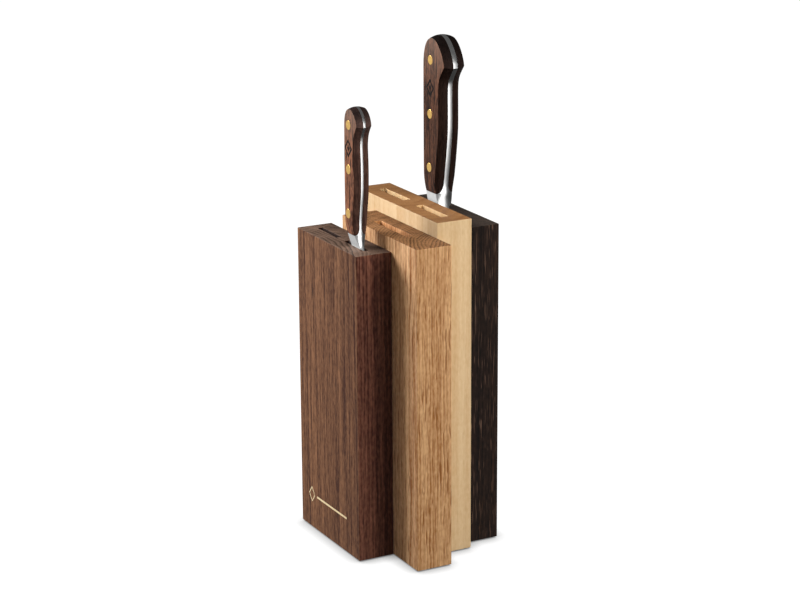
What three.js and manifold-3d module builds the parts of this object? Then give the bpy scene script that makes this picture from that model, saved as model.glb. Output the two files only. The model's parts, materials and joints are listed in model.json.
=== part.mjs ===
// A countertop knife block made of four upright blocks of different woods, each glued up from two
// boards with the slots routed into their joint, and two riveted full-tang knives standing in it.
// Millimetres, +Z up. X runs across the four blocks, their narrow front ends face -Y, and the origin
// is on the table under the middle of the footprint.
import * as THREE from 'three'
import { mergeVertices } from 'three/addons/utils/BufferGeometryUtils.js'
import Module from 'manifold-3d'

const wasm = await Module()
wasm.setup()

// Driving dimensions.
const BOARD = 14 // thickness of each board, so a block is two of these
const SLOT_FLOOR = 20 // wood left under every slot
const FOOT_RADIUS = 5
const FOOT_HEIGHT = 1
const FOOT_INSET = 14 // from a block's end to its foot's centre
const RIVET_RADIUS = 3.5
const RIVET_PLAY = 0.05 // between a rivet and its hole
const SEAM = 0.1 // between the end of a wooden scale and the bolster's shoulder
const GLUE_LINE = 0.02 // between a scale and the tang
const EDGE_HALF = 0.15 // half the thickness left at the cutting edge
const GRIP_STEPS = 30 // stations along a handle, and round its butt
const BUTT_STEPS = 14
const BUTT_BLEND = 15 // length below the butt over which its crown takes over from the grip's

// Each block's back is its +Y face. A slot is given by its distance from that face and its length.
const BLOCKS = [
  { wood: 'walnut', depth: 95, height: 229.5, back: 59.25, slotWidth: 3.4, slots: [[9.5, 31], [52, 31]] },
  { wood: 'oak', depth: 114, height: 239.5, back: 41.25, slotWidth: 5.5, slots: [[29, 50]] },
  { wood: 'maple', depth: 124.5, height: 250.5, back: 72.75, slotWidth: 5.5, slots: [[15, 38], [72.5, 38]] },
  { wood: 'wenge', depth: 104.5, height: 241, back: 62.25, slotWidth: 5.5, slots: [[31, 50]] },
]

const MATERIALS = {
  walnut: new THREE.MeshStandardMaterial({ color: '#73503e', roughness: 0.55 }),
  oak: new THREE.MeshStandardMaterial({ color: '#c49a6c', roughness: 0.55 }),
  maple: new THREE.MeshStandardMaterial({ color: '#e2c896', roughness: 0.5 }),
  wenge: new THREE.MeshStandardMaterial({ color: '#2c2623', roughness: 0.6 }),
  handle: new THREE.MeshStandardMaterial({ color: '#5f4238', roughness: 0.5 }),
  steel: new THREE.MeshStandardMaterial({ color: '#c9cac9', roughness: 0.3, metalness: 1 }),
  brass: new THREE.MeshStandardMaterial({ color: '#e0bd6c', roughness: 0.3, metalness: 1 }),
  rubber: new THREE.MeshStandardMaterial({ color: '#262626', roughness: 0.9 }),
}

// Both knives, in millimetres above the underside of the blocks. Outlines are [across, height] pairs,
// rising, in the plane of the blade, with the spine at +Y and the belly and cutting edge at -Y.
const CHEF = {
  name: 'chef',
  block: 3,
  tangHalf: 1.8,
  gripHalf: 8.4, // half the handle's thickness
  endHalf: 6.9, // half its thickness at the bolster
  endTaper: 15, // length over which it thins towards the bolster
  bellyCrown: 3, // how far the belly stands out between the scales' edges
  spineCrown: 1.2,
  buttCrown: 2.1,
  shoulder: 8.5, // height of the scooped shoulder that the scales end on
  woodEnd: 253.2,
  throat: 241, // where the bolster enters the slot
  heel: 222,
  tip: 42,
  bladeHalf: [[0.5, 42], [1.5, 200], [1.6, 231], [2.45, 241], [5.6, 245.6], [6.9, 253.2]],
  edge: [[17, 42], [6, 64], [-6, 104], [-13.5, 160], [-16, 222]],
  guard: [[-16, 222], [-11.5, 226.5], [2, 233.5], [10.5, 240], [13.1, 246.5], [13.9, 253.2]],
  bladeSpine: [[17.5, 42], [24.5, 80], [27.6, 130], [28.2, 190], [28.2, 241], [28.4, 253.2]],
  gripBelly: [[13.9, 253.2], [13.9, 260], [10.6, 279], [7.8, 300], [7.5, 315], [7.6, 330], [6.9, 337.5],
    [4.5, 342.5], [-1.1, 349.4]],
  gripSpine: [[28.4, 253.2], [29.4, 268], [29.7, 310], [29.7, 347]],
  buttBelly: [[-1.1, 349.4], [-0.4, 355.8], [7.2, 368.3], [16.5, 368.3]],
  buttSpine: [[29.7, 347], [29.7, 360.5], [24.5, 368.3], [16.5, 368.3]],
  rivets: [[21.4, 272], [20.4, 312], [19.4, 352]],
}

const PARING = {
  name: 'paring',
  block: 0,
  tangHalf: 1,
  gripHalf: 6,
  endHalf: 4.4,
  endTaper: 13,
  bellyCrown: 1.9,
  spineCrown: 0.8,
  buttCrown: 1.3,
  shoulder: 5.5,
  woodEnd: 238.6,
  throat: 229.5,
  heel: 222,
  tip: 140,
  bladeHalf: [[0.4, 140], [0.9, 210], [0.95, 224], [1.4, 229.5], [2.5, 232.6], [4.4, 238.6]],
  edge: [[-10, 140], [-15, 152], [-19.5, 178], [-21.2, 204], [-21.5, 222]],
  guard: [[-21.5, 222], [-19.2, 227], [-16.7, 232.2], [-14.4, 238.6]],
  bladeSpine: [[-9.6, 140], [-5.8, 160], [-4, 185], [-3.6, 215], [-3.9, 238.6]],
  gripBelly: [[-14.4, 238.6], [-13.9, 247], [-15.2, 258], [-16.7, 268], [-17.4, 280], [-17.2, 292],
    [-16.6, 304], [-18.2, 312], [-22.1, 318.5]],
  gripSpine: [[-3.9, 238.6], [-3.3, 262], [-3.2, 292], [-3.5, 317]],
  buttBelly: [[-22.1, 318.5], [-22.1, 323], [-17.5, 329.7], [-11.5, 329.7]],
  buttSpine: [[-3.5, 317], [-3.5, 324.5], [-6.5, 329.7], [-11.5, 329.7]],
  rivets: [[-7.9, 253.7], [-9, 286], [-9.6, 318]],
}

// Solids.

function toSolid(geometry) {
  const bare = geometry.clone()
  bare.deleteAttribute('normal')
  bare.deleteAttribute('uv')
  const merged = mergeVertices(bare)
  const mesh = new wasm.Mesh({
    numProp: 3,
    vertProperties: new Float32Array(merged.attributes.position.array),
    triVerts: new Uint32Array(merged.index.array),
  })
  return new wasm.Manifold(mesh)
}

function toGeometry(solid) {
  const { vertProperties, triVerts } = solid.getMesh()
  const geometry = new THREE.BufferGeometry()
  geometry.setAttribute('position', new THREE.BufferAttribute(new Float32Array(vertProperties), 3))
  geometry.setIndex(new THREE.BufferAttribute(new Uint32Array(triVerts), 1))
  geometry.computeVertexNormals()
  return geometry
}

function subtractAll(geometry, cutters) {
  const cut = cutters.reduce((solid, cutter) => solid.subtract(toSolid(cutter)), toSolid(geometry))
  return toGeometry(cut)
}

// A closed body through a rising row of stations. A station is a row of levels across the thickness,
// and a level holds one point on the belly side and one on the spine side.
function bodyThrough(stations) {
  const levels = stations[0].length
  const points = stations.flat().flatMap(({ belly, spine }) => [belly, spine])
  const belly = (station, level) => 2 * (station * levels + level)
  const spine = (station, level) => belly(station, level) + 1
  const quads = []
  for (let s = 0; s + 1 < stations.length; s += 1) {
    for (let l = 0; l + 1 < levels; l += 1) {
      quads.push([belly(s, l), belly(s, l + 1), belly(s + 1, l + 1), belly(s + 1, l)])
      quads.push([spine(s, l + 1), spine(s, l), spine(s + 1, l), spine(s + 1, l + 1)])
    }
    const last = levels - 1
    quads.push([spine(s, 0), belly(s, 0), belly(s + 1, 0), spine(s + 1, 0)])
    quads.push([belly(s, last), spine(s, last), spine(s + 1, last), belly(s + 1, last)])
  }
  const top = stations.length - 1
  for (let l = 0; l + 1 < levels; l += 1) {
    quads.push([belly(0, l), spine(0, l), spine(0, l + 1), belly(0, l + 1)])
    quads.push([belly(top, l), belly(top, l + 1), spine(top, l + 1), spine(top, l)])
  }
  const geometry = new THREE.BufferGeometry().setFromPoints(points)
  geometry.setIndex(quads.flatMap(([a, b, c, d]) => [a, b, c, a, c, d]))
  return withoutSlivers(mergeVertices(geometry))
}

// Where belly and spine meet in one point, merging leaves triangles with no area.
function withoutSlivers(geometry) {
  const kept = []
  const corners = geometry.index.array
  for (let i = 0; i < corners.length; i += 3) {
    const [a, b, c] = corners.slice(i, i + 3)
    if (a !== b && b !== c && c !== a) {
      kept.push(a, b, c)
    }
  }
  geometry.setIndex(kept)
  geometry.computeVertexNormals()
  return geometry
}

// Outlines.

const toPoints = (pairs) => pairs.map(([across, height]) => new THREE.Vector2(across, height))
const smoothCurve = (pairs) => new THREE.SplineCurve(toPoints(pairs))
const roundCurve = (pairs) => new THREE.CubicBezierCurve(...toPoints(pairs))

// How far along a rising curve it reaches a height, from 0 to 1.
function atHeight(curve, height) {
  let low = 0
  let high = 1
  for (let step = 0; step < 30; step += 1) {
    const middle = (low + high) / 2
    if (curve.getPoint(middle).y < height) {
      low = middle
    } else {
      high = middle
    }
  }
  return (low + high) / 2
}

const acrossAt = (curve, height) => curve.getPoint(atHeight(curve, height)).x

// A point of an outline with its outward direction and how far the crown stands out there: side is -1
// on the belly and 1 on the spine.
function rimAt(knife, curve, along, side) {
  const point = curve.getPoint(along)
  const tangent = curve.getTangent(along)
  const gripCrown = side < 0 ? knife.bellyCrown : knife.spineCrown
  const [hook, , , top] = knife.buttBelly.map(([, height]) => height)
  const inButt = THREE.MathUtils.smoothstep(point.y, hook - BUTT_BLEND, top)
  return {
    point,
    out: new THREE.Vector2(side * tangent.y, -side * tangent.x),
    crown: THREE.MathUtils.lerp(gripCrown, knife.buttCrown, inButt),
  }
}

// The same at a height on the grip. Near the bolster the outward direction is level, so that a
// scale's end and the shoulder under it stay parallel.
function gripRim(knife, curve, height, side) {
  const rim = rimAt(knife, curve, atHeight(curve, height), side)
  rim.out.y *= THREE.MathUtils.smoothstep(height, knife.woodEnd + 2 * knife.shoulder, curve.getPoint(1).y)
  rim.out.normalize()
  return rim
}

// Evenly spaced values from one number to another.
function steps(from, to, count) {
  return Array.from({ length: count + 1 }, (_, i) => THREE.MathUtils.lerp(from, to, i / count))
}

// The handle's rims from the bolster up to the butt, as pairs of belly and spine.
function handleRims(knife) {
  const gripBelly = smoothCurve(knife.gripBelly)
  const gripSpine = smoothCurve(knife.gripSpine)
  const buttBelly = roundCurve(knife.buttBelly)
  const buttSpine = roundCurve(knife.buttSpine)
  const hook = gripBelly.getPoint(1).y
  const spineTop = gripSpine.getPoint(1).y
  const grip = steps(0, 1, GRIP_STEPS).map((share) => ({
    belly: gripRim(knife, gripBelly, THREE.MathUtils.lerp(knife.woodEnd, hook, share), -1),
    spine: gripRim(knife, gripSpine, THREE.MathUtils.lerp(knife.woodEnd, spineTop, share), 1),
  }))
  const butt = steps(0, 1, BUTT_STEPS).map((share) => ({
    belly: rimAt(knife, buttBelly, share, -1),
    spine: rimAt(knife, buttSpine, share, 1),
  }))
  const corner = grip.pop()
  butt[0].belly.out.add(corner.belly.out).normalize()
  return [...grip, ...butt]
}

// Half the handle's thickness at a height: even, but thinner towards the bolster.
function gripHalfAt(knife, height) {
  const left = THREE.MathUtils.clamp(1 - (height - knife.woodEnd) / knife.endTaper, 0, 1)
  return knife.gripHalf - (knife.gripHalf - knife.endHalf) * left * left
}

// A rim point moved out by the crown, which is full in the middle and nothing at the scales' edges.
function crowned({ point, out, crown }, share, x) {
  const moved = point.clone().addScaledVector(out, crown * (1 - share * share))
  return new THREE.Vector3(x, moved.x, moved.y)
}

// The shoulder is a quarter ellipse from the tang's side down to the bolster's full thickness, and the
// scale's end follows it. Both are cut into the same steps.
const SHOULDER_STEPS = steps(0, Math.PI / 2, 6)

// A wooden scale on one side of the tang, which is -1 or 1.
function scaleBody(knife, side) {
  const rims = handleRims(knife)
  const levels = SHOULDER_STEPS.map((angle) => ({
    share: 1 - Math.cos(angle),
    rise: knife.shoulder * (1 - Math.sin(angle)) + SEAM,
  }))
  const blended = rims.findIndex(({ belly }) => belly.point.y > knife.woodEnd + 1.3 * knife.shoulder)
  const stations = rims.map((rim, k) => {
    const lift = Math.max(0, 1 - k / blended)
    const station = levels.map(({ share, rise }) => {
      const half = gripHalfAt(knife, rim.belly.point.y)
      const x = THREE.MathUtils.lerp(knife.tangHalf + GLUE_LINE, half, share)
      const level = {
        belly: crowned(rim.belly, x / half, side * x),
        spine: crowned(rim.spine, x / half, side * x),
      }
      level.belly.z += lift * rise
      level.spine.z += lift * rise
      return level
    })
    return side > 0 ? station : station.reverse()
  })
  return bodyThrough(stations)
}

// Blade, bolster and full tang, forged in one piece.
function forgedBody(knife) {
  const shares = [-1, -0.6, 0, 0.6, 1]
  const half = smoothCurve(knife.bladeHalf)
  const edge = smoothCurve(knife.edge)
  const guard = smoothCurve(knife.guard)
  const spine = smoothCurve(knife.bladeSpine)
  const throatHalf = acrossAt(half, knife.throat)

  const blade = steps(knife.tip, knife.heel, 16).slice(0, -1)
  const neck = steps(knife.heel, knife.throat, 6).slice(0, -1)
  const bolster = steps(knife.throat, knife.woodEnd, 6)
  const lower = [...blade, ...neck, ...bolster].map((z) => {
    const spineHalf = acrossAt(half, z)
    const entered = THREE.MathUtils.clamp((z - knife.heel) / (knife.throat - knife.heel), 0, 1)
    const bellyHalf = z < knife.throat ? THREE.MathUtils.lerp(EDGE_HALF, throatHalf, entered) : spineHalf
    const risen = THREE.MathUtils.clamp((z - knife.throat) / (knife.woodEnd - knife.throat), 0, 1)
    const bellyY = acrossAt(z < knife.heel ? edge : guard, z)
    const spineY = acrossAt(spine, z)
    return shares.map((share) => {
      const bulge = risen * (1 - share * share)
      return {
        belly: new THREE.Vector3(share * bellyHalf, bellyY - knife.bellyCrown * bulge, z),
        spine: new THREE.Vector3(share * spineHalf, spineY + knife.spineCrown * bulge, z),
      }
    })
  })

  const gripBelly = smoothCurve(knife.gripBelly)
  const gripSpine = smoothCurve(knife.gripSpine)
  const shoulder = SHOULDER_STEPS.slice(0, -1).reverse().map((angle) => {
    const z = knife.woodEnd + knife.shoulder * (1 - Math.sin(angle))
    const reach = knife.endHalf - (knife.endHalf - knife.tangHalf) * Math.cos(angle)
    const belly = gripRim(knife, gripBelly, z, -1)
    const back = gripRim(knife, gripSpine, z, 1)
    return shares.map((share) => ({
      belly: crowned(belly, (share * reach) / gripHalfAt(knife, z), share * reach),
      spine: crowned(back, (share * reach) / gripHalfAt(knife, z), share * reach),
    }))
  })

  const tang = handleRims(knife)
    .filter(({ belly }) => belly.point.y > knife.woodEnd + 1.1 * knife.shoulder)
    .map((rim) => shares.map((share) => {
      const x = share * knife.tangHalf
      return {
        belly: crowned(rim.belly, x / knife.gripHalf, x),
        spine: crowned(rim.spine, x / knife.gripHalf, x),
      }
    }))
  return bodyThrough([...lower, ...shoulder, ...tang])
}

// A cylinder lying along X through a point of the handle.
function crossPin(radius, half, [across, height]) {
  const pin = new THREE.CylinderGeometry(radius, radius, 2 * half, 32)
  pin.rotateZ(Math.PI / 2)
  pin.translate(0, across, height)
  return pin
}

// Nodes.

const group = new THREE.Group()

function addMesh(parent, name, geometry, material) {
  const mesh = new THREE.Mesh(geometry, MATERIALS[material])
  mesh.name = name
  parent.add(mesh)
}

const blockCentre = (index) => (2 * index + 1 - BLOCKS.length) * BOARD

function addBlock({ wood, depth, height, back, slotWidth, slots }, index) {
  const block = new THREE.Group()
  block.position.set(blockCentre(index), 0, FOOT_HEIGHT)
  for (const [side, word] of [[-1, 'left'], [1, 'right']]) {
    const board = new THREE.BoxGeometry(BOARD, depth, height)
    board.translate((side * BOARD) / 2, back - depth / 2, height / 2)
    const grooves = slots.map(([fromBack, length]) => {
      const groove = new THREE.BoxGeometry(slotWidth, length, height)
      groove.translate(0, back - fromBack - length / 2, SLOT_FLOOR + height / 2)
      return groove
    })
    addMesh(block, `${wood}_${word}_board`, subtractAll(board, grooves), wood)
  }
  for (const [word, y] of [['front', back - depth + FOOT_INSET], ['back', back - FOOT_INSET]]) {
    const foot = new THREE.CylinderGeometry(FOOT_RADIUS, FOOT_RADIUS, FOOT_HEIGHT, 24)
    foot.rotateX(Math.PI / 2)
    foot.translate(0, y, -FOOT_HEIGHT / 2)
    addMesh(block, `${wood}_${word}_foot`, foot, 'rubber')
  }
  group.add(block)
}

function addKnife(knife) {
  const parts = new THREE.Group()
  parts.position.set(blockCentre(knife.block), 0, FOOT_HEIGHT)
  const holes = knife.rivets.map((place) => crossPin(RIVET_RADIUS, 2 * knife.gripHalf, place))
  addMesh(parts, `${knife.name}_blade`, subtractAll(forgedBody(knife), holes), 'steel')
  for (const [side, word] of [[-1, 'left'], [1, 'right']]) {
    addMesh(parts, `${knife.name}_${word}_scale`, subtractAll(scaleBody(knife, side), holes), 'handle')
  }
  knife.rivets.forEach((place, i) => {
    const pin = crossPin(RIVET_RADIUS - RIVET_PLAY, gripHalfAt(knife, place[1]), place)
    addMesh(parts, `${knife.name}_rivet_${i + 1}`, pin, 'brass')
  })
  group.add(parts)
}

BLOCKS.forEach(addBlock)
addKnife(CHEF)
addKnife(PARING)

export default group
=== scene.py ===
"""A knife block of four woods with two riveted knives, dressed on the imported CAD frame.

Metres, in the frame's own axes: X runs across the four blocks, -Y is their narrow front, +Z is up.
"""
import json
import math

import bmesh
import bpy
from mathutils import Matrix, Vector


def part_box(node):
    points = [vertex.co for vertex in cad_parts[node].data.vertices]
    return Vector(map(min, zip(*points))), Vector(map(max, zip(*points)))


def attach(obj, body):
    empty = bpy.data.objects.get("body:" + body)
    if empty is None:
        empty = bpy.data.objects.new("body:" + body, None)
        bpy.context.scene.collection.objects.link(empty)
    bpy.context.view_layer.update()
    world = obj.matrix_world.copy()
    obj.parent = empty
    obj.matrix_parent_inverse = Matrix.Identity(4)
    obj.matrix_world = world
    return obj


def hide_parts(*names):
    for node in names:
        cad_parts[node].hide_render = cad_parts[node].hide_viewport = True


MM = 0.001

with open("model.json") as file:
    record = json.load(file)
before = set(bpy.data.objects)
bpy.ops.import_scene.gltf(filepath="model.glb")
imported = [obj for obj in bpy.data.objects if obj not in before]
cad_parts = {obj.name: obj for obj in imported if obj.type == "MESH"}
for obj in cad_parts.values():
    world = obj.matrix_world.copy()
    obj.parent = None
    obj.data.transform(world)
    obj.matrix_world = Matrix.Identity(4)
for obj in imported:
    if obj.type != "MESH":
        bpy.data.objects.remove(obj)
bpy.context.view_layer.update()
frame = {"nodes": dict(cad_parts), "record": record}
record = frame["record"]
BODY = {node: body for body, nodes in record["behaviour"]["bodies"].items() for node in nodes}
SLOT = {part["node"]: part["material_slot"] for part in record["subparts"]}


# Materials.

class Nodes:
    """A material's node tree, built by calls that each return a socket."""

    def __init__(self, name):
        self.material = bpy.data.materials.new(name)
        self.material.use_nodes = True
        self.tree = self.material.node_tree
        self.shader = self.tree.nodes["Principled BSDF"]

    @classmethod
    def within(cls, tree):
        """The same calls for a node tree that is there already, such as the world's."""
        made = cls.__new__(cls)
        made.tree = tree
        return made

    def node(self, kind, inputs=(), **settings):
        """A new node. inputs maps sockets to values or to other sockets, settings are its properties."""
        made = self.tree.nodes.new(kind)
        for key, value in settings.items():
            setattr(made, key, value)
        for key, value in dict(inputs).items():
            self.put(made.inputs[key], value)
        return made

    def put(self, socket, value):
        if isinstance(value, bpy.types.NodeSocket):
            self.tree.links.new(value, socket)
        else:
            socket.default_value = value

    def set(self, **values):
        """Sets the shader's sockets; an underscore in a name stands for a space."""
        for key, value in values.items():
            self.put(self.shader.inputs[key.replace("_", " ")], value)

    def math(self, operation, a, b=0.0, c=0.0):
        return self.node("ShaderNodeMath", {0: a, 1: b, 2: c}, operation=operation).outputs[0]

    def total(self, *values):
        """The values added up."""
        answer = values[0]
        for value in values[1:]:
            answer = self.math("ADD", answer, value)
        return answer

    def times(self, *values):
        """The values multiplied together."""
        answer = values[0]
        for value in values[1:]:
            answer = self.math("MULTIPLY", answer, value)
        return answer

    def vector(self, operation, a, b=(0, 0, 0)):
        made = self.node("ShaderNodeVectorMath", {0: a, 1: b}, operation=operation)
        return made.outputs["Value" if operation == "LENGTH" else "Vector"]

    def scaled(self, vector, by):
        made = self.node("ShaderNodeVectorMath", {0: vector, "Scale": by}, operation="SCALE")
        return made.outputs["Vector"]

    def split(self, vector):
        return self.node("ShaderNodeSeparateXYZ", {0: vector}).outputs

    def place(self):
        """Where the surface is, in metres in the frame's axes."""
        return self.node("ShaderNodeTexCoord").outputs["Object"]

    def facing(self):
        """The way the surface faces."""
        return self.node("ShaderNodeTexCoord").outputs["Normal"]

    def noise(self, place, per_metre, detail=2.0, roughness=0.5, output="Fac"):
        """Noise with so many features to the metre along X, Y and Z."""
        stretched = self.vector("MULTIPLY", place, per_metre)
        inputs = {"Vector": stretched, "Scale": 1.0, "Detail": detail, "Roughness": roughness}
        return self.node("ShaderNodeTexNoise", inputs).outputs[output]

    def swing(self, place, per_metre, size, detail=2.0, roughness=0.5):
        """Noise that swings about zero, reaching about size each way."""
        noise = self.noise(place, per_metre, detail, roughness)
        return self.math("MULTIPLY", self.math("SUBTRACT", noise, 0.5), 4 * size)

    def threads(self, place, per_metre, width):
        """A mask of thin wandering lines: where a stretched noise crosses its middle value."""
        noise = self.noise(place, per_metre, detail=1.0)
        off = self.math("ABSOLUTE", self.math("SUBTRACT", noise, 0.5))
        return self.between(off, 0.0, width, 1.0, 0.0)

    def between(self, value, low, high, start=0.0, end=1.0):
        """value brought from low..high to start..end, smoothly."""
        inputs = {"Value": value, "From Min": low, "From Max": high, "To Min": start, "To Max": end}
        return self.node("ShaderNodeMapRange", inputs, interpolation_type="SMOOTHSTEP").outputs["Result"]

    def mix(self, factor, a, b, blend="MIX"):
        made = self.node("ShaderNodeMix", data_type="RGBA", blend_type=blend)
        self.put(made.inputs["Factor"], factor)
        self.put(made.inputs["A"], a)
        self.put(made.inputs["B"], b)
        return made.outputs["Result"]

    def tinted(self, mask, paint, tint):
        """paint, multiplied by tint where the mask is."""
        return self.mix(mask, paint, self.mix(1.0, paint, (*tint, 1), blend="MULTIPLY"))

    def ramp(self, factor, stops):
        """A grey scale through the stops, each a position from 0 to 1 and a brightness."""
        made = self.node("ShaderNodeValToRGB", {0: factor})
        points = made.color_ramp.elements
        while len(points) < len(stops):
            points.new(0.5)
        for point, (position, value) in zip(points, stops):
            point.position = position
            point.color = (value, value, value, 1)
        return made.outputs["Color"]

    def bump(self, height, distance):
        made = self.node("ShaderNodeBump", {"Strength": 1.0, "Distance": distance, "Height": height})
        self.set(Normal=made.outputs["Normal"])


def colour(code):
    """A linear colour from an sRGB hex code."""
    channels = [int(code[i:i + 2], 16) / 255 for i in (1, 3, 5)]
    linear = [c / 12.92 if c <= 0.04045 else ((c + 0.055) / 1.055) ** 2.4 for c in channels]
    return (*linear, 1)


# Every wood is cut from the same kind of log: rings round a pith line, fibres and pores along Z.
# - ring and wander are in millimetres: how wide a year's ring is, and how far the fibres stray.
# - ring_depth, band, speckle and streak are shares of the step from the dark tone to the light one on
#   the long faces, and ring_end and ray are the same on the sawn ends, which only the boards show.
# - Each _size is how many marks go to a metre, across the fibres and along them.
# - thread and pore are how strongly their colours show. pore_share is how much of the wood has pores,
#   and ring_porous how far they keep to the early growth.
# - front multiplies the colour of a board's narrow front and of a handle scale's narrow faces. It is
#   painted light and shade, for the different light those faces get, and on the scales also a painted
#   sheen that greys them. slot multiplies the colour of a slot's walls: painted shade inside the slots.
#   sheen is the strength of the gloss.
WOODS = {
    "walnut": dict(
        dark="#3d2117", light="#8d654a", end_dark="#211812", end="#82695a", front=(1.06, 0.94, 1.18),
        ring=3.2, wander=1.6, ring_depth=0.26, ring_end=0.9, band=0.20, speckle=0.24,
        streak=0.55, streak_size=(620, 13), ray=0.10,
        thread=0.35, thread_size=(120, 3), thread_width=0.012, thread_colour="#3a231a",
        pore=0.65, pore_size=(800, 60), pore_share=0.40, ring_porous=0.3, pore_colour="#33201a",
        slot=(0.14, 0.10, 0.09), sheen=0.07, roughness=0.55,
    ),
    "oak": dict(
        dark="#965d2d", light="#f2c99c", end_dark="#3c220e", end="#a07550", front=(0.90, 0.87, 0.80),
        ring=2.4, wander=6.5, ring_depth=0.24, ring_end=1.0, band=0.14, speckle=0.16,
        streak=0.30, streak_size=(360, 12), ray=0.40,
        thread=0.45, thread_size=(120, 5), thread_width=0.012, thread_colour="#7d4b28",
        pore=1.0, pore_size=(930, 55), pore_share=0.56, ring_porous=0.8, pore_colour="#87532d",
        slot=(1.0, 0.90, 0.78), sheen=0.07, roughness=0.52,
    ),
    "maple": dict(
        dark="#c8a272", light="#e7cfa9", end_dark="#7d5532", end="#966d46", front=(0.95, 0.93, 0.89),
        ring=9.0, wander=3.0, ring_depth=0.18, ring_end=0.8, band=0.22, speckle=0.14,
        streak=0.18, streak_size=(330, 5), ray=0.10,
        thread=0.10, thread_size=(60, 2), thread_width=0.010, thread_colour="#b98552",
        pore=0.10, pore_size=(1300, 60), pore_share=0.30, ring_porous=0.2, pore_colour="#c49a68",
        slot=(1.0, 0.96, 0.88), sheen=0.14, roughness=0.48,
    ),
    "wenge": dict(
        dark="#0c0807", light="#2e211b", end_dark="#15110f", end="#473d37", front=(0.88, 0.90, 0.93),
        ring=2.2, wander=1.5, ring_depth=0.35, ring_end=0.9, band=0.10, speckle=0.28,
        streak=0.30, streak_size=(700, 18), ray=0.05,
        thread=0.20, thread_size=(300, 6), thread_width=0.012, thread_colour="#6b4d3b",
        pore=0.62, pore_size=(1300, 60), pore_share=0.30, ring_porous=0.5, pore_colour="#7d6253",
        slot=(0.4, 0.4, 0.4), sheen=0.12, roughness=0.55,
    ),
    "handle_wood": dict(
        dark="#26140e", light="#7d523d", front=(1.03, 1.28, 1.68),
        ring=3.0, wander=1.2, ring_depth=0.20, band=0.15, speckle=0.40,
        streak=0.95, streak_size=(520, 45),
        thread=0.30, thread_size=(250, 12), thread_width=0.014, thread_colour="#241510",
        pore=0.9, pore_size=(680, 75), pore_share=0.38, ring_porous=0.1, pore_colour="#180d09",
        sheen=0.06, roughness=0.45,
    ),
}

# Through one year's ring, from 0 to 1: how dark the growth is, and how open with pores.
LATE_GROWTH = [(0.0, 0.7), (0.12, 0.0), (0.55, 0.25), (0.9, 1.0), (1.0, 0.7)]
EARLY_GROWTH = [(0.0, 1.0), (0.3, 0.5), (0.6, 0.0), (0.92, 0.0), (1.0, 1.0)]

# How many of each mark go to a metre along X, Y and Z.
STRAYING = (14, 14, 4.5)
RING_WAVES = (45, 45, 0)
BANDS = (50, 50, 1.2)
SPECKLES = (650, 650, 260)
THREAD_PATCHES = (90, 90, 12)
END_DOTS = (1300, 1300, 30)
END_CLOUDS = (70, 70, 0)
RAYS_PER_RADIAN = 170.0
RAYS_PER_METRE = 45.0

SIDE_TONE = 0.6  # before the marks, from the dark tone at 0 to the light one at 1
END_TONE = 0.85
GRAIN_RELIEF = 0.10 * MM


def rings(m, swayed, pith, look):
    """The place from the pith line, how far out it is, and how late and how early in a year's growth."""
    from_pith = m.vector("SUBTRACT", swayed, (pith[0] * MM, pith[1] * MM, 0))
    flat = m.vector("MULTIPLY", from_pith, (1, 1, 0))
    radius = m.vector("LENGTH", flat)
    uneven = m.swing(flat, RING_WAVES, 0.5, detail=1.0)
    phase = m.math("MULTIPLY_ADD", radius, 1 / (look["ring"] * MM), uneven)
    part = m.math("FRACT", phase)
    late = m.ramp(part, LATE_GROWTH)
    early = m.ramp(part, EARLY_GROWTH)
    year = m.node("ShaderNodeTexWhiteNoise", {"W": m.math("FLOOR", phase)}, noise_dimensions="1D")
    depth = m.math("MULTIPLY_ADD", year.outputs["Value"], 0.7, 0.3)
    return flat, radius, m.times(late, depth), early


def side_grain(m, place, swayed, late, early, look):
    """The colour of a long face, a mask of its pores and threads, and its tone from dark to light."""
    across, along = look["streak_size"]
    tone = m.total(
        SIDE_TONE,
        m.times(late, -2 * look["ring_depth"]),
        m.swing(swayed, BANDS, look["band"]),
        m.swing(swayed, (across, across, along), look["streak"], detail=3.0, roughness=0.7),
        m.swing(place, SPECKLES, look["speckle"], detail=1.0),
    )
    side = m.mix(tone, colour(look["dark"]), colour(look["light"]))
    across, along = look["thread_size"]
    patches = m.between(m.noise(swayed, THREAD_PATCHES), 0.42, 0.62)
    threads = m.times(m.threads(swayed, (across, across, along), look["thread_width"]), patches)
    side = m.mix(m.times(threads, look["thread"]), side, colour(look["thread_colour"]))
    across, along = look["pore_size"]
    closed = 0.66 - 0.22 * look["pore_share"]
    pores = m.between(m.noise(swayed, (across, across, along), detail=1.0), closed, closed + 0.09)
    porous = look["ring_porous"]
    pores = m.times(pores, m.math("MULTIPLY_ADD", early, porous, 1 - porous))
    side = m.mix(m.times(pores, look["pore"]), side, colour(look["pore_colour"]))
    return side, m.math("MAXIMUM", pores, threads), tone


def end_grain(m, place, flat, radius, late, look):
    """The colour of a sawn end: rings, the pores in them and the rays across them."""
    x, y, _ = m.split(flat)
    polar = m.node("ShaderNodeCombineXYZ", {
        0: m.times(m.math("ARCTAN2", y, x), RAYS_PER_RADIAN),
        1: m.times(radius, RAYS_PER_METRE),
    })
    rays = m.between(m.noise(polar.outputs[0], (1, 1, 1), detail=1.0), 0.52, 0.68)
    dots = m.between(m.noise(place, END_DOTS, detail=1.0), 0.50, 0.68)
    tone = m.total(
        END_TONE,
        m.times(late, -look["ring_end"]),
        m.times(rays, look["ray"]),
        m.times(dots, -0.40),
        m.swing(flat, END_CLOUDS, 0.15),
    )
    return m.mix(tone, colour(look["end_dark"]), colour(look["end"]))


# Painted sheen: the grey that a scale's upper part is turned towards, as the gloss of a light would.
PAINTED_SHEEN_GREY = colour("#8c776b")  # the greyer brown of a scale's upper part
# Painted shade: the dark colour mixed into a scale's narrow faces.
NARROW_FACE = colour("#563629")


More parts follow.
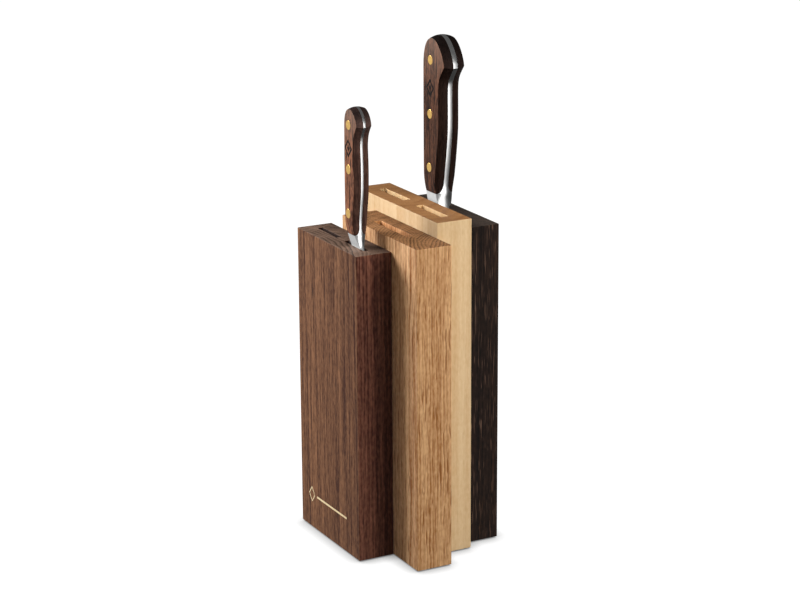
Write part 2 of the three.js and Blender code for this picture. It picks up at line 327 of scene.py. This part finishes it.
def scale_depth(m, place, scale):
    """How deep a handle scale's colour is, as painted light and shade, and a mask of its narrow faces.
    """
    _, _, height = m.split(place)
    across, _, _ = m.split(m.vector("ABSOLUTE", m.facing()))
    _, _, upward = m.split(m.facing())
    length = scale["high"] - scale["low"]
    # Painted light and shade: the broad faces' colour deepens and pales with height, from throat to
    # butt.
    broad = m.between(height, scale["low"] + 0.4 * length, scale["high"] + 0.08 * length,
                      scale["throat"], scale["butt"])
    on_narrow = m.between(across, 0.5, 0.9, 1.0, 0.0)
    # Painted shade: the narrow faces are darker, and darker still where they face up.
    narrow = m.between(upward, 0.1, 0.7, scale["narrow"], 0.3 * scale["narrow"])
    depth = m.total(m.times(broad, m.math("SUBTRACT", 1.0, on_narrow)), m.times(on_narrow, narrow))
    return depth, on_narrow


def in_slots(m, place, slots):
    """A mask of a board's slot walls, where shade is painted: no other long face shows so close to its
    glue line.
    """
    reach, margin = 7 * MM, 3 * MM
    glue, front, back = slots
    x, y, _ = m.split(place)
    near = m.math("LESS_THAN", m.math("ABSOLUTE", m.math("SUBTRACT", x, glue)), reach)
    behind = m.math("GREATER_THAN", y, front + margin)
    before = m.math("LESS_THAN", y, back - margin)
    return m.times(near, behind, before)


def wood(name, look, pith, depth=1.0, mark=None, scale=None, slots=None):
    """A board's material, or a handle scale's.

    pith is where the log's centre line stands, as X and Y in millimetres. depth multiplies the colour.
    scale has the heights a handle scale runs between, low and high, and its depth of colour at its
    throat, butt and narrow faces, partly painted light and shade. slots is the X of the glue line a
    board's slots are cut along, and the Y of the board's front and back.
    """
    m = Nodes(name)
    place = m.place()
    wobble = m.noise(place, STRAYING, detail=2.5, output="Color")
    reach = 2 * look["wander"] * MM
    sway = m.vector("MULTIPLY", m.vector("SUBTRACT", wobble, (0.5, 0.5, 0.5)), (reach, reach, 0))
    swayed = m.vector("ADD", place, sway)
    flat, radius, late, early = rings(m, swayed, pith, look)
    side, pores, tone = side_grain(m, place, swayed, late, early, look)

    if scale:
        depth, narrow = scale_depth(m, place, scale)
        # Painted sheen: towards the butt the broad faces turn greyer, for a reflection the wood would
        # catch there.
        upper = scale["low"] + 0.60 * (scale["high"] - scale["low"])
        painted_sheen = m.between(m.split(place)[2], upper, scale["high"], 0.0, 0.34)
        side = m.mix(painted_sheen, side, PAINTED_SHEEN_GREY)
        # Painted shade and sheen: the narrow faces are darkened towards NARROW_FACE and tinted by front.
        side = m.mix(m.times(narrow, 0.6), side, NARROW_FACE)
        side = m.tinted(narrow, side, look["front"])
        paint = side
    else:
        # Painted light and shade: the narrow front faces get their own tint for the light that falls on
        # them.
        is_front = m.between(m.split(m.facing())[1], -0.85, -0.55, 1.0, 0.0)
        side = m.tinted(is_front, side, look["front"])
        # Painted shade: the slot walls are tinted, mostly darker, for the shadow inside the slots.
        side = m.tinted(in_slots(m, place, slots), side, look["slot"])
        is_end = m.between(m.split(m.vector("ABSOLUTE", m.facing()))[2], 0.55, 0.85)
        paint = m.mix(is_end, side, end_grain(m, place, flat, radius, late, look))
    paint = m.scaled(paint, depth)
    if mark:
        on_mark, mark_colour = mark(m, place)
        paint = m.mix(on_mark, paint, colour(mark_colour))
    rough = m.math("MULTIPLY_ADD", tone, 0.12, look["roughness"] - 0.06)
    m.set(Base_Color=paint, Roughness=rough, Specular_IOR_Level=look["sheen"])
    m.bump(m.math("MULTIPLY_ADD", tone, 0.35, m.times(pores, -1.0)), GRAIN_RELIEF)
    return m.material


def lozenge(m, place, middle, half_width, half_height, line):
    """A mask of a lozenge's outline in the YZ plane, all in millimetres.

    A line as wide as half the lozenge's narrower way fills it.
    """
    _, y, z = m.split(m.vector("SUBTRACT", place, (0, middle[0] * MM, middle[1] * MM)))
    reach = m.total(
        m.math("DIVIDE", m.math("ABSOLUTE", y), half_width * MM),
        m.math("DIVIDE", m.math("ABSOLUTE", z), half_height * MM),
    )
    inside = m.math("LESS_THAN", reach, 1.0)
    hollow = m.math("GREATER_THAN", reach, 1.0 - line / min(half_width, half_height))
    return m.times(inside, hollow)


def bar(m, place, middle, half_width, half_height):
    """A mask of a plain bar in the YZ plane, all in millimetres."""
    _, y, z = m.split(m.vector("SUBTRACT", place, (0, middle[0] * MM, middle[1] * MM)))
    wide = m.math("LESS_THAN", m.math("ABSOLUTE", y), half_width * MM)
    tall = m.math("LESS_THAN", m.math("ABSOLUTE", z), half_height * MM)
    return m.times(wide, tall)


def steel():
    """Satin steel, brushed along Z."""
    m = Nodes("satin_steel")
    place = m.place()
    scratch = m.noise(place, (2500, 2500, 160), roughness=0.6)
    cloud = m.noise(place, (60, 60, 25))
    tone = m.mix(m.between(scratch, 0.3, 0.7), (0.80, 0.80, 0.79, 1), (0.90, 0.90, 0.89, 1))
    rough = m.math("MULTIPLY_ADD", cloud, 0.08, 0.24)
    m.set(Base_Color=tone, Metallic=1.0, Roughness=m.math("MULTIPLY_ADD", scratch, 0.08, rough))
    m.bump(scratch, 0.01 * MM)
    return m.material


def brass():
    m = Nodes("brass_rivet")
    place = m.place()
    turned = m.noise(place, (900, 3000, 700))
    tone = m.mix(m.between(turned, 0.3, 0.7), colour("#efc878"), colour("#cf9f4a"))
    m.set(Base_Color=tone, Metallic=1.0, Roughness=m.math("MULTIPLY_ADD", turned, 0.12, 0.24))
    m.bump(turned, 0.01 * MM)
    return m.material


def rubber():
    m = Nodes("rubber_foot")
    grit = m.noise(m.place(), (2600, 2600, 2600))
    tone = m.mix(grit, colour("#161616"), colour("#2b2a29"))
    m.set(Base_Color=tone, Roughness=m.math("MULTIPLY_ADD", grit, 0.15, 0.75))
    m.bump(grit, 0.05 * MM)
    return m.material


# Where each board's log had its pith, as X and Y in millimetres, and how deep the board's colour is.
BOARDS = {
    "walnut_left_board": ((-150, 16), 1.0),
    "walnut_right_board": ((10, 70), 0.8),
    "oak_left_board": ((55, -98), 1.0),
    "oak_right_board": ((50, -110), 1.0),
    "maple_left_board": ((-60, -160), 1.0),
    "maple_right_board": ((90, -150), 1.0),
    "wenge_left_board": ((-30, 140), 1.0),
    "wenge_right_board": ((160, 60), 1.0),
}


def block_mark(m, place):
    """Pale foil: a lozenge and a plain bar, low on the broad side."""
    height = 27.4
    outline = lozenge(m, place, (41.9, height), 5.0, 6.3, 1.0)
    return m.total(outline, bar(m, place, (9.1, height), 24.5, 0.8)), "#e6d3aa"


def scale_mark(*middle):
    """A dark lozenge burnt into a scale, with a small solid one inside it. middle is its Y and Z."""
    def mark(m, place):
        outline = lozenge(m, place, middle, 5.8, 6.8, 2.1)
        inside = lozenge(m, place, middle, 1.7, 2.8, 1.7)
        return m.total(outline, inside), "#080403"
    return mark


# Each scale's depth of colour at its butt, at its throat by the blade and on its narrow faces, and its
# mark. The depths are partly the wood's own colour and partly painted light and shade: the change from
# throat to butt paints light and shade, and the dark narrow faces paint shade.
SCALES = {
    "chef_left_scale": (1.1, 0.50, 0.18, scale_mark(19.6, 332.5)),
    "chef_right_scale": (1.1, 0.50, 0.14, None),
    "paring_left_scale": (1.2, 1.50, 0.68, scale_mark(-9.45, 302.4)),
    "paring_right_scale": (1.2, 1.50, 0.55, None),
}
PITH_FROM_SCALE = (-60, 25)  # X and Y in millimetres, from the scale's middle


def glue_line(board):
    """The X of the face a board shares with its other half."""
    low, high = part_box(board)
    return high.x if "left" in board else low.x


def paint_for(node):
    slot = SLOT[node]
    if node not in BOARDS and node not in SCALES:
        return {"steel": steel, "brass": brass, "rubber": rubber}[slot]()
    low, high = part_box(node)
    if node in BOARDS:
        pith, depth = BOARDS[node]
        mark = block_mark if node == "walnut_left_board" else None
        slots = (glue_line(node), low.y, high.y)
        return wood(node + "_wood", WOODS[slot], pith, depth, mark, slots=slots)
    centre = (low + high) / 2 / MM
    pith = (centre.x + PITH_FROM_SCALE[0], centre.y + PITH_FROM_SCALE[1])
    butt, throat, narrow, mark = SCALES[node]
    scale = {"low": low.z, "high": high.z, "throat": throat, "butt": butt, "narrow": narrow}
    return wood(node + "_wood", WOODS[slot], pith, mark=mark, scale=scale)


# Shapes.

ONE_POINT = 0.001 * MM  # vertices closer than this are one
FLAT = math.radians(0.3)  # faces that meet at less are one face
SHARP = math.radians(32)  # edges that turn more are shaded sharp
WOOD_ARRIS = math.radians(28)
BOARD_ARRIS = math.radians(45)
SQUARE = math.radians(60)
BESIDE_RIVET = 3.8 * MM  # from a rivet's centre to just outside its edge


def shaped(node, *rounds):
    """A piece that stands for a CAD node, with its arrises rounded.

    Each round is a width and a test that picks the edges it is for.
    """
    mesh = frame["nodes"][node].data.copy()
    work = bmesh.new()
    work.from_mesh(mesh)
    bmesh.ops.remove_doubles(work, verts=work.verts, dist=ONE_POINT)
    bmesh.ops.dissolve_limit(work, angle_limit=FLAT, verts=work.verts, edges=work.edges)
    for width, is_arris in rounds:
        arrises = [e for e in work.edges if len(e.link_faces) == 2 and is_arris(e)]
        bmesh.ops.bevel(work, geom=arrises, offset=width, offset_type="OFFSET", segments=3, profile=0.5,
                        affect="EDGES", clamp_overlap=True)
    for face in work.faces:
        face.smooth = True
    for edge in work.edges:
        edge.smooth = len(edge.link_faces) == 2 and edge.calc_face_angle(0) < SHARP
    work.to_mesh(mesh)
    work.free()
    mesh.materials.clear()
    mesh.materials.append(paint_for(node))
    piece = bpy.data.objects.new(node + "_shaped", mesh)
    bpy.context.scene.collection.objects.link(piece)
    piece.modifiers.new("even_normals", "WEIGHTED_NORMAL").keep_sharp = True
    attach(piece, BODY[node])
    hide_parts(node)
    return piece


def middle(edge):
    return (edge.verts[0].co + edge.verts[1].co) / 2


def is_square(edge):
    return edge.calc_face_angle_signed(0) > SQUARE


def add_board(node):
    glue = glue_line(node)

    def is_arris(edge):
        in_glue_line = all(abs(v.co.x - glue) < 0.01 * MM for v in edge.verts)
        return edge.calc_face_angle_signed(0) > BOARD_ARRIS and not in_glue_line

    board = shaped(node, (0.45 * MM, is_arris))
    board.visible_glossy = False  # so that the steel mirrors the softboxes alone


def add_knife(name):
    blade = name + "_blade"
    left, right = f"{name}_left_scale", f"{name}_right_scale"
    rivets = [f"{name}_rivet_{i}" for i in (1, 2, 3)]
    low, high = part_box(blade)
    centre = (low.x + high.x) / 2
    tang = min(abs(v.co.x - centre) for v in frame["nodes"][right].data.vertices)
    wood_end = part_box(right)[0].z
    rivet_centres = [sum(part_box(rivet), Vector()) / 2 for rivet in rivets]

    def at_rivet(point):
        return any(Vector((point.y - r.y, point.z - r.z)).length < BESIDE_RIVET for r in rivet_centres)

    def is_upright(edge):
        """Steel meets wood along the slanting edges, so only the upright ones are softened."""
        run = (edge.verts[1].co - edge.verts[0].co).normalized()
        return edge.calc_face_angle_signed(0) > WOOD_ARRIS and abs(run.z) > 0.8

    def on_tang(edge):
        return is_upright(edge) and middle(edge).z > wood_end

    def on_bolster(edge):
        return is_upright(edge) and middle(edge).z < wood_end

    def is_outer_arris(edge):
        """Where a scale meets the tang or a rivet it stays sharp."""
        if edge.calc_face_angle_signed(0) < WOOD_ARRIS or at_rivet(middle(edge)):
            return False
        return not all(abs(abs(v.co.x - centre) - tang) < 0.05 * MM for v in edge.verts)

    shaped(blade, (0.35 * MM, on_bolster), (0.12 * MM, on_tang))
    for scale in (left, right):
        shaped(scale, (0.35 * MM, is_outer_arris))
    for rivet in rivets:
        shaped(rivet, (0.15 * MM, is_square))


for board in BOARDS:
    add_board(board)
for node in frame["nodes"]:
    if node.endswith("_foot"):
        shaped(node, (0.2 * MM, is_square))
add_knife("chef")
add_knife("paring")


# Stage, light and camera.

WHITE = (1.0, 1.0, 1.0)
WARM_WHITE = (1.0, 0.97, 0.93)
WARM = (1.0, 0.88, 0.74)
FLOOR_REACH = 12  # from the middle to a side
CONTACT_SHADOW = 12 * MM  # how far it reaches out
OBJECT_MIDDLE = Vector((0, 0, 0.16))
BOX_FADE = 8  # degrees on either side of a softbox's edge


def add_floor():
    """White paper that glows evenly, with a painted contact shadow close to what stands on it."""
    m = Nodes("floor_paper")
    # Painted contact shadow: the glow dims where ambient occlusion finds something within reach.
    open_air = m.node("ShaderNodeAmbientOcclusion", {"Distance": CONTACT_SHADOW}, samples=16)
    m.set(
        Base_Color=(0.06, 0.06, 0.06, 1),
        Roughness=0.9,
        Emission_Color=(1, 1, 1, 1),
        Emission_Strength=m.math("MULTIPLY_ADD", open_air.outputs["AO"], 0.90, 0.11),
    )
    mesh = bpy.data.meshes.new("floor")
    corners = [(x * FLOOR_REACH, y * FLOOR_REACH, 0) for x, y in ((-1, -1), (1, -1), (1, 1), (-1, 1))]
    mesh.from_pydata(corners, [], [(0, 1, 2, 3)])
    mesh.materials.append(m.material)
    floor = bpy.data.objects.new("floor", mesh)
    bpy.context.scene.collection.objects.link(floor)
    floor.visible_diffuse = False
    floor.visible_glossy = False


def add_light(name, towards, elevation, distance, size, power, tint, in_mirrors=True):
    """An area light that looks at the object's middle.

    towards is its compass angle, where 0 is +X and 90 is +Y, and elevation its angle above the horizon.
    """
    light = bpy.data.lights.new(name, "AREA")
    light.shape = "RECTANGLE"
    light.size, light.size_y = size
    light.energy = power
    light.color = tint
    lamp = bpy.data.objects.new(name, light)
    lamp.visible_glossy = in_mirrors
    bpy.context.scene.collection.objects.link(lamp)
    around, up = math.radians(towards), math.radians(elevation)
    out = Vector((math.cos(around) * math.cos(up), math.sin(around) * math.cos(up), math.sin(up)))
    lamp.location = OBJECT_MIDDLE + out * distance
    lamp.rotation_euler = (-out).to_track_quat("-Z", "Y").to_euler()


def add_overhead(strength):
    """An even light from straight above, as wide as a ceiling of softboxes."""
    light = bpy.data.lights.new("overhead", "SUN")
    light.energy = strength
    light.angle = math.radians(50)
    lamp = bpy.data.objects.new("overhead", light)
    lamp.visible_glossy = False
    bpy.context.scene.collection.objects.link(lamp)


def add_world(ground, dome, softboxes):
    """What the steel and the sheen of the wood reflect: a dim room with softboxes.

    ground and dome are the room's brightness low down and overhead. A softbox is its compass angle, half
    its width, half its height, its height above the horizon, all in degrees, and its brightness.
    """
    world = bpy.data.worlds.new("studio")
    world.use_nodes = True
    m = Nodes.within(world.node_tree)
    x, y, z = m.split(m.node("ShaderNodeTexCoord").outputs["Generated"])
    compass = m.math("ARCTAN2", y, x)
    height = m.math("ARCSINE", z)
    bright = m.between(z, 0.25, 0.75, ground, dome)

    def inside(off, half):
        low, high = math.radians(half - BOX_FADE), math.radians(half + BOX_FADE)
        return m.between(m.math("ABSOLUTE", off), low, high, 1, 0)

    for towards, half_width, half_height, above_horizon, strength in softboxes:
        off = m.math("SUBTRACT", compass, math.radians(towards))
        off = m.math("WRAP", off, math.pi, -math.pi)
        lift = m.math("SUBTRACT", height, math.radians(above_horizon))
        box = m.times(inside(off, half_width), inside(lift, half_height))
        bright = m.math("MULTIPLY_ADD", box, strength, bright)
    background = world.node_tree.nodes["Background"]
    background.inputs["Color"].default_value = (1, 1, 1, 1)
    m.put(background.inputs["Strength"], bright)
    world.cycles_visibility.diffuse = False
    bpy.context.scene.world = world


def add_camera():
    camera = bpy.data.cameras.new("camera")
    camera.sensor_width = 36
    camera.lens = 106.63
    camera.shift_x = -0.0005
    camera.shift_y = -0.0008
    camera.clip_end = 60
    eye = bpy.data.objects.new("camera", camera)
    bpy.context.scene.collection.objects.link(eye)
    look = Vector((0.45002, 0.84764, -0.28103))
    roll = Matrix.Rotation(math.radians(-0.333), 4, "Z")
    turn = look.to_track_quat("-Z", "Y").to_matrix().to_4x4() @ roll
    eye.matrix_world = Matrix.Translation((-0.7796, -1.4644, 0.6683)) @ turn
    bpy.context.scene.camera = eye


add_floor()
add_light("key", 134, 28, distance=1.15, size=(0.65, 0.5), power=20, tint=WHITE)
add_light("fill", -60, 34, distance=1.3, size=(1.0, 1.0), power=21.5, tint=WARM_WHITE, in_mirrors=False)
add_light("front", -100, 38, distance=1.0, size=(0.8, 0.5), power=0.9, tint=WARM, in_mirrors=False)
add_light("bounce", 168, 5, distance=1.2, size=(1.1, 0.7), power=3.6, tint=WARM, in_mirrors=False)
add_overhead(0.46)
add_world(ground=0.04, dome=0.10, softboxes=[
    (-83, 18, 28, -3, 2.5),
    (138, 38, 35, -5, 0.75),
    (222, 22, 25, -5, 0.3),
    (45, 30, 20, -22, 0.35),
])
add_camera()
bpy.context.scene.view_settings.view_transform = "Standard"
